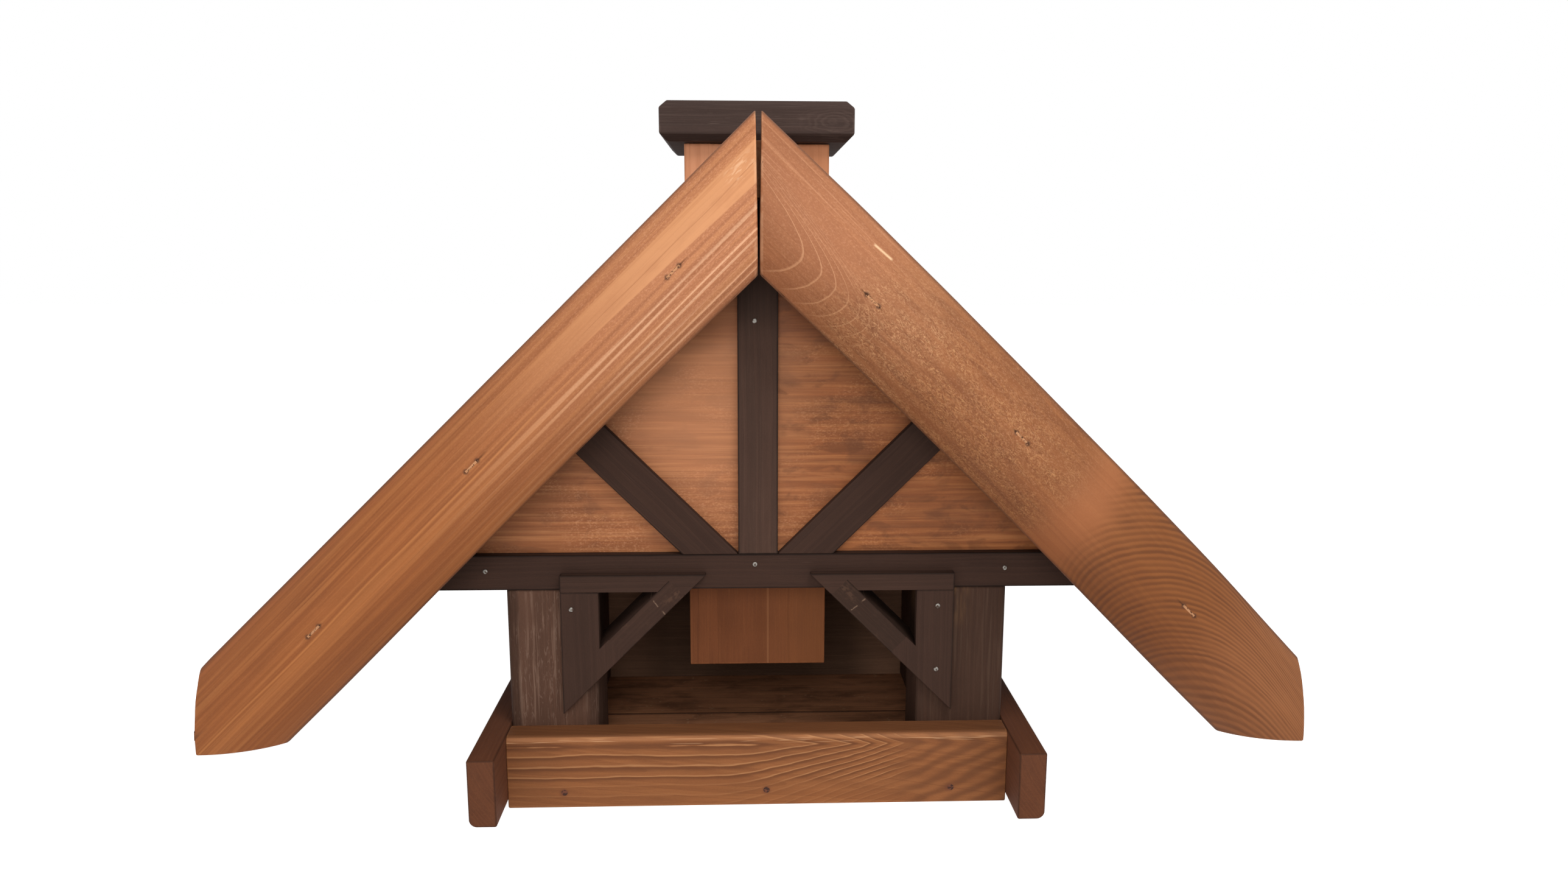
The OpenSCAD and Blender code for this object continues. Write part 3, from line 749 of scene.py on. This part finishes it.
def mitre_edge(f, wear):
    """Rubbed light at the ridge joint, and painted shade: dark along the crown's edges and the
    board's sides behind them.
    """
    sideways = f.along * math.cos(ROOF_PITCH) - f.across * math.sin(ROOF_PITCH)
    joint = sideways - RIDGE_JOINT / 2 / MM
    rubbed = joint.rise(1.3, 0.2) * f.noise(14, 14, 2.0, 36).rise(0.4, 0.6)
    f.paint(rubbed, wear, stain(226, 178, 140))
    # Painted shade where the crown turns away to the board's sides.
    shaded_crown_edge = f.behind.rise(-126.5, -124.5)
    f.paint(shaded_crown_edge, 0.6, stain(82, 48, 30))


def rail_figure(f):
    """Wavy light lines, dark below, that close in points, then broad grain rising to the right."""
    front = f.across.rise(23.2, 22.6)
    sway = (f.noise(75, 26, 2.0, 61) - 0.5) * 5.5
    sway = sway + (f.noise(24, 7, 2.0, 26) - 0.5) * 2.2
    drop = abs(17 - f.across) + sway
    held = f.along.at_most(85).at_least(-20) + 20
    lead = (held * (1 / 55)) ** 2.2
    lead = lead + ((f.along - 85).at_least(0.0) * 0.085 + (f.along - 105).at_least(0.0) * 0.045)
    count = drop * (0.147 + f.along.rise(-30, 80) * 0.103) + lead
    step = count.fract()
    left = f.along.rise(105, 75)
    upper = (0.25 + drop.rise(27, 20) * 0.75) * front
    line = step.rise(0.8, 0.95) * left * upper
    below = step.rise(0.0, 0.08) * step.rise(0.6, 0.12) * upper
    f.paint(below * (0.05 + left * 0.95), 0.72, stain(94, 52, 26))
    f.paint(line, 0.38, stain(212, 156, 106))
    broad = (count * 0.4 + f.noise(40, 12, 1.0, 64) * 0.6).fract()
    right = (1.0 - left) * front
    f.paint(broad.rise(0.1, 0.5) * broad.rise(1.0, 0.6) * right, 0.6, stain(100, 58, 33))
    for nail in (-124.5, 5, 123):
        f.paint(f.spot(nail, -14, 8), 0.45, stain(100, 52, 36))
    dash = f.noise(26, 0.9, 1.0, 65).rise(0.6, 0.68) * f.across.between(18.5, 22.0, 0.8)
    f.paint(dash, 0.5, stain(226, 176, 132))
    f.paint(f.across.between(20.5, 22.8, 1.0), 0.25, stain(206, 146, 100))
    # Painted shade: the top face darker than the front face.
    f.shade(1.0 - f.across.rise(22.6, 23.6) * 0.38)
    f.shade(1.04 - abs(f.along).rise(110, 162) * 0.18)
    f.height += line * 0.4 - below * 0.3


def crumbs(f):
    """Weathered feeding floor: dark damp patches and a few pale husks."""
    damp = f.noise(30, 12, 3.0, 67, 0.3).rise(0.42, 0.74)
    husk = f.noise(3.2, 1.8, 1.0, 68).rise(0.68, 0.74) * f.noise(30, 30, 1.0, 69).rise(0.45, 0.55)
    f.paint(damp, 0.6, stain(70, 46, 32))
    f.paint(husk, 0.6, stain(176, 140, 108))
    f.height += husk


def back_figure(f):
    """Painted light: brighter all over, and much brighter towards both ends, to lift the shade
    inside the house.
    """
    f.shade(1.15 + abs(f.along).rise(70, 105) * 1.7)


def left_post_figure(f):
    """Pale streaks left by a dry brush, and painted shade in a strip down both sides."""
    brush = f.noise(46, 1.3, 2.0, 87).rise(0.52, 0.66)
    patch = f.noise(36, 14, 2.0, 89).rise(0.32, 0.6)
    fleck = f.noise(7, 1.4, 2.0, 88, 1.0).rise(0.56, 0.68) * patch
    f.paint(brush * patch, 0.55, stain(134, 106, 90))
    f.paint(fleck, 0.35, stain(136, 110, 96))
    # Painted shade on the rounded corners down both sides.
    shaded_sides = abs(f.across).rise(19, 24)
    f.shade(1.0 - shaded_sides * 0.4)
    f.height += brush * 0.4


def right_post_figure(f):
    """Dark by painted shade in its stain, and even, with one worn place near the top."""
    brush = f.noise(60, 2.2, 2.0, 90).rise(0.5, 0.7)
    f.paint(brush, 0.2, stain(112, 88, 72))
    worn = f.along.rise(30, 50) * f.across.rise(-8, 2) * f.noise(30, 6, 2.0, 94).rise(0.36, 0.6)
    f.paint(worn, 0.5, stain(126, 92, 62))
    f.height += brush * 0.3


def king_figure(f):
    """Painted shade: a darker top, under the ridge."""
    f.shade(1.0 + f.along.rise(24, 46) * -0.4)


def silo_figure(f):
    """The chimney end is pale and brightened by painted light, the end in the house darker, with a
    light line down it.
    """
    line = (f.across + 7).between(-0.6, 0.6, 0.5)
    f.paint(line, 0.3, stain(180, 124, 84))
    grain = f.noise(60, 2.4, 2.0, 72)
    chimney = f.along.rise(60, 110)
    # The chimney end's pale stain partly stands in for the light it gets above the roof.
    f.paint(chimney, 0.85, stain(196, 138, 104))
    f.paint(chimney * grain.rise(0.5, 0.36), 0.4, stain(164, 108, 76))
    f.paint(f.across.rise(10, -45), 0.35, stain(150, 92, 52))
    # Painted light: the chimney end brighter still.
    f.shade(1.0 + chimney * 0.42)


def gable_figure(f):
    """Level bands and fine flecks with painted glints, a painted pool of light a little left of the
    middle, and painted shade below the roof and over the right side.
    """
    level = f.noise(80, 5, 3.0, 56, 0.5)
    f.paint(level.rise(0.52, 0.66), 0.4, stain(122, 72, 42))
    f.paint(level.rise(0.46, 0.34), 0.35, stain(192, 132, 92))
    streak = f.noise(110, 1.9, 2.0, 25)
    f.paint(streak.rise(0.53, 0.66), 0.32, stain(204, 142, 96))
    f.paint(streak.rise(0.46, 0.34), 0.34, stain(118, 66, 36))
    dots = f.noise(1.4, 0.8, 2.0, 57)
    sparkle = f.noise(40, 24, 1.0, 58).rise(0.45, 0.65)
    # Light flecks are painted glints of the rough surface; dark flecks are specks in the wood.
    f.paint(dots.rise(0.5, 0.68) * sparkle, 0.28, stain(222, 166, 130))
    f.paint(dots.rise(0.5, 0.32) * sparkle, 0.24, stain(120, 70, 44))
    smear = f.noise(34, 16, 3.0, 59, 0.8).rise(0.5, 0.68)
    f.paint(smear, 0.4, stain(104, 64, 44))
    # Painted light: a soft pool of light a little left of the middle.
    left = f.along + 34
    middle = (left * left + f.across * f.across * 0.6).root()
    f.paint(middle.rise(85, 20), 0.5, stain(204, 142, 106))
    # Painted shadow of the rake boards: an uneven darker band below the roof.
    shade_at = f.across + (f.noise(60, 40, 1.0, 60) - 0.5) * 24
    f.tint(shade_at.rise(18, 34), 0.72, 0.66, 0.6)
    f.shade(0.8 + f.noise(75, 11, 2.0, 27, 0.4) * 0.4)
    blot = f.noise(22, 10, 3.0, 28, 0.6).rise(0.52, 0.64) * f.along.rise(-10, 20)
    f.paint(blot, 0.4, stain(98, 58, 36))
    f.tint(1.0, 0.97, 0.92, 0.8)
    # Painted shade: the upper right and the whole right side darker.
    f.tint(f.along.rise(-5, 30) * f.across.rise(15, 40), 0.88, 0.82, 0.76)
    f.tint(f.along.rise(-5, 60), 0.92, 0.84, 0.7)


def cap_figure(f):
    """A knot near the right end of the front, and painted shade on the underside."""
    run, drop = f.along - 46, (f.across + 1) * 2.4
    far = (run * run + drop * drop).root()
    far = far + f.noise(16, 6, 2.0, 146) * 14.0
    ring = (far * (1 / 4.2)).fract()
    near = far.rise(34, 16) * far.rise(8, 14)
    f.paint(ring.rise(0.3, 0.7) * ring.rise(1.0, 0.8) * near, 0.2, stain(104, 86, 78))
    # Painted shade: the underside darker.
    f.shade(1.0 - f.across.rise(-6.5, -9) * 0.3)


def brace_marks(f):
    """Thin pale scores across a brace near both of its joints, and rubbed places between them."""
    wobble = (f.noise(9, 9, 2.0, 123) - 0.5) * 3.0
    along = abs(f.along - 4) + wobble
    score = along.between(25.0, 25.6, 0.4) * f.noise(8, 3, 1.0, 124).rise(0.4, 0.55)
    rub = f.noise(14, 7, 4.0, 125).rise(0.46, 0.78) * f.noise(2.5, 1.2, 3.0, 126).rise(0.4, 0.6)
    f.paint(rub, 0.45, stain(104, 76, 60))
    f.paint(score, 0.6, stain(150, 122, 102))


# ---- nails and staples ----

def steel(name, bright, rust, share, roughness):
    """Dull steel wire with rust and old stain on part of it."""
    f = Finish(name, (0, 0, 0), LEVEL, bright)
    f.height = f.noise(1.8, 1.8, 3.0, 5)
    f.lay(f.height.rise(0.62 - share * 0.3, 0.7 - share * 0.3), rust)
    f.shader.inputs["Metallic"].default_value = 0.7 if roughness < 0.5 else 0.15
    return f.close(roughness + f.height * 0.3, 0.05)


def nail_head():
    """A round head with a rim and a dimple on a stub of its shank, built up on the Z axis."""
    head_r, shank_r, stub = 1.45 * MM, 0.7 * MM, 6 * MM
    chamfer, rim, dimple = 0.3 * NAIL_HEAD_T, 0.65 * MM, 0.45 * MM
    bpy.ops.object.select_all(action="DESELECT")
    bpy.ops.mesh.primitive_cylinder_add(vertices=24, radius=shank_r, depth=stub,
                                        location=(0, 0, -stub / 2))
    piece = bpy.context.object
    bpy.ops.object.mode_set(mode="EDIT")
    bpy.ops.mesh.select_mode(type="FACE")
    bpy.ops.mesh.select_all(action="DESELECT")
    mesh = bmesh.from_edit_mesh(piece.data)
    for face in mesh.faces:
        face.select_set(face.normal.z > 0.9)
    bmesh.update_edit_mesh(piece.data)
    bpy.ops.mesh.extrude_region_move()
    bpy.ops.transform.resize(value=(head_r / shank_r, head_r / shank_r, 1))
    for rise in (NAIL_HEAD_T * 0.7, chamfer):
        bpy.ops.mesh.extrude_region_move(TRANSFORM_OT_translate={"value": (0, 0, rise)})
    bpy.ops.transform.resize(value=(0.8, 0.8, 1))
    bpy.ops.mesh.inset(thickness=rim)
    bpy.ops.mesh.extrude_region_move(TRANSFORM_OT_translate={"value": (0, 0, -dimple)})
    bpy.ops.object.mode_set(mode="OBJECT")
    piece.data.transform(Matrix.Translation(piece.location))
    piece.location = (0, 0, 0)
    return piece


def loose_parts(node):
    """The boxes of the separate solids in a node, as pairs of corners."""
    mesh = bmesh.new()
    mesh.from_mesh(frame["nodes"][node].data)
    bmesh.ops.remove_doubles(mesh, verts=mesh.verts, dist=WELD)
    seen, boxes = set(), []
    for start in mesh.verts:
        if start in seen:
            continue
        part, queue = [], [start]
        seen.add(start)
        while queue:
            vert = queue.pop()
            part.append(vert.co.copy())
            for edge in vert.link_edges:
                other = edge.other_vert(vert)
                if other not in seen:
                    seen.add(other)
                    queue.append(other)
        boxes.append(corners(part))
    mesh.free()
    return boxes


def nails_and_staples():
    """Dimpled heads on the timber frame; the long nails and the staples keep their solids."""
    pattern = nail_head()
    heads = []
    for low, high in loose_parts("short_nails"):
        head = pattern.copy()
        head.data = pattern.data.copy()
        bpy.context.scene.collection.objects.link(head)
        middle = (low + high) / 2
        front = middle.y < 0
        middle.y = low.y + NAIL_HEAD_T if front else high.y - NAIL_HEAD_T
        turn = Matrix.Rotation(math.radians(90 if front else -90), 4, "X")
        head.data.transform(Matrix.Translation(middle) @ turn)
        heads.append(head)
    bpy.data.objects.remove(pattern)
    pick(heads[0])
    for head in heads:
        head.select_set(True)
    bpy.ops.object.join()
    heads[0].name = "short_nails_worked"
    bright = steel("nail steel", stain(140, 136, 130), stain(80, 64, 55), 0.45, 0.45)
    finish_piece(heads[0], "short_nails", bright)
    dull = steel("old wire", stain(112, 64, 44), stain(60, 34, 24), 0.6, 0.7)
    dusty = steel("dusty wire", stain(204, 150, 108), stain(92, 58, 38), 0.35, 0.8)
    for node, finish in (("long_nails", dull), ("rake_staples", dusty)):
        for slot in frame["nodes"][node].material_slots:
            slot.material = finish


# ---- the house ----

def stains(base, deep, pale):
    """A board's own stain, that of its dark wood and that of its worn wood."""
    return {"base": stain(*base), "deep": stain(*deep), "pale": stain(*pale)}


HONEY = stains((166, 104, 62), (146, 86, 48), (192, 128, 80))
PINKISH = stains((172, 112, 74), (150, 92, 58), (200, 144, 104))
ROOF = stains((164, 106, 68), (136, 82, 48), (198, 142, 100))
RAIL = stains((146, 91, 52), (122, 71, 38), (176, 119, 73))
GABLE = stains((160, 100, 64), (130, 76, 45), (190, 132, 92))
RED = stains((102, 60, 38), (82, 46, 29), (126, 80, 54))
SILO = stains((120, 69, 40), (98, 54, 30), (148, 92, 56))
CAP = stains((69, 54, 49), (52, 40, 36), (116, 98, 90))
BACK = stains((84, 62, 48), (66, 47, 36), (106, 80, 62))
FLOOR = stains((162, 110, 78), (116, 75, 52), (182, 134, 100))
PLANED = {"lines": 0.08, "streaks": 0.25, "specks": 0.12, "shine": 0.12}
DARK = stains((62, 43, 35), (49, 33, 27), (84, 62, 53)) | PLANED
KING = stains((76, 55, 46), (60, 43, 36), (102, 80, 69)) | PLANED
BRACE = stains((64, 45, 37), (52, 36, 29), (85, 63, 53)) | PLANED
RIGHT_BRACE = stains((58, 41, 33), (47, 33, 26), (80, 59, 49)) | PLANED
POST = stains((92, 65, 52), (76, 53, 42), (110, 82, 68)) | PLANED
# Painted shade: a darker copy of the post stain, for the right posts.
SHADED_POST = stains((70, 49, 39), (58, 40, 32), (84, 62, 50)) | PLANED

make_camera()
make_studio()
make_floor()

right_crook, left_crook = crook(3.0, 30, 390), crook(1.6, 50, 350)
rake("front_left_rake", -1, left_lift, left_crook, left_rake_figure, seed=3.0, pith=(-40, 260),
     year=6.5, lines=0.15, streaks=0.3, specks=0.1, gloss=0.5, **HONEY)
rake("front_right_rake", 1, right_lift, right_crook, right_rake_figure, seed=8.0, pith=(-40, -260),
     year=9.0, lines=0.0, streaks=0.25, specks=0.1, gloss=0.5, **PINKISH)
rake("rear_left_rake", -1, right_lift, right_crook, None, seed=14.0, pith=(70, 40),
     lean=(0.1, 0.05), lines=0.35, **ROOF)
rake("rear_right_rake", 1, left_lift, left_crook, None, seed=17.0, pith=(60, -30),
     lean=(0.12, 0.04), lines=0.35, **ROOF)

for side in ("left", "right"):
    for number in range(1, 7):
        straight_board(f"{side}_roof_board_{number}", FRONT_TO_BACK, 1.0 * MM,
                       seed=20.0 + number * 3.1, pith=(-12 * number, 70), lean=(0.06, 0.04),
                       lines=0.3, **ROOF)
for end in ("front", "rear"):
    straight_board(f"{end}_ridge_pole", FRONT_TO_BACK, 0.6 * MM, seed=51.0, pith=(4, 3),
                   lines=0.3, **ROOF)
    straight_board(f"{end}_gable_board", LEVEL, 0.5 * MM, seed=55.0, pith=(-70, 150),
                   lean=(0.05, 0.03), year=7.0, lines=0.25, gloss=0.55,
                   figure=gable_figure, **GABLE)
    straight_board(f"{end}_rail", LEVEL, 1.0 * MM, seed=61.0, pith=(-26, -8), lean=(0.02, 0.12),
                   year=3.6, lines=0.05, streaks=0.3, specks=0.1, figure=rail_figure, **RAIL)
    straight_board(f"{end}_floor_board", LEVEL, 0.6 * MM, seed=66.0, lines=0.2, streaks=0.4,
                   wear=0, edge_line=0.9, shine=0.12, figure=crumbs, **FLOOR)
    straight_board(f"{end}_silo_board", UPRIGHT, 0.6 * MM, seed=71.0, pith=(-50, 10), year=9.0,
                   lines=0.15, wear=0.4, shine=0.2, figure=silo_figure, **SILO)
    straight_board(f"{end}_king_post", UPRIGHT, seed=76.0, edge_line=0.8, scratches=0.08,
                   figure=king_figure, **KING)
    straight_board(f"{end}_tie_beam", LEVEL, seed=81.0, edge_line=0.8, scratches=0.05, **DARK)
    for side, figure, look in (("left", left_post_figure, POST),
                               ("right", right_post_figure, SHADED_POST)):
        straight_board(f"{end}_{side}_post", UPRIGHT, 1.6 * MM, seed=85.0 + len(side + end),
                       wear=0.1, edge_line=0.4, figure=figure, **look)
    for side, strut_turn, rafter_turn in (("left", DOWN_RIGHT, DOWN_LEFT),
                                          ("right", DOWN_LEFT, DOWN_RIGHT)):
        straight_board(f"{end}_{side}_strut", strut_turn, seed=92.0 + len(side),
                       edge_line=0.8, scratches=0.1, **DARK)
        straight_board(f"{end}_{side}_rafter", rafter_turn, seed=96.0, **DARK)
for side, diagonal_turn, look in (("left", DOWN_LEFT, BRACE), ("right", DOWN_RIGHT, RIGHT_BRACE)):
    straight_board(f"{side}_side_rail", FRONT_TO_BACK, 1.2 * MM, seed=101.0, lines=0.15,
                   edge_line=0.65, shine=0.2, **RED)
    straight_board(f"{side}_silo_board", UPRIGHT, 0.6 * MM, seed=105.0, lines=0.15, shine=0.2,
                   figure=silo_figure, **SILO)
    straight_board(f"{side}_silo_bearer", FRONT_TO_BACK, 0.6 * MM, seed=107.0, **DARK)
    straight_board(f"{side}_brace_upright", UPRIGHT, 0.6 * MM, seed=111.0 + len(side),
                   edge_line=0.6, scratches=0.08, **BRACE)
    straight_board(f"{side}_brace_top", LEVEL, 0.6 * MM, seed=115.0 + len(side),
                   edge_line=0.7, scratches=0.08, **BRACE)
    straight_board(f"{side}_brace_diagonal", diagonal_turn, 0.6 * MM, seed=121.0 + len(side),
                   edge_line=0.5, scratches=0.14, figure=brace_marks, **look)
straight_board("back_board", LEVEL, 0.6 * MM, seed=131.0, lines=0.2, shine=0.08,
               figure=back_figure, **BACK)
straight_board("cap", LEVEL, 0.8 * MM, seed=141.0, lines=0.12, streaks=0.3, wear=0.25,
               scratches=0.2, gloss=0.45, shine=0.12, figure=cap_figure, **CAP)
straight_board("cap_plug", LEVEL, 0.6 * MM, seed=144.0, shine=0.12, **CAP)

nails_and_staples()
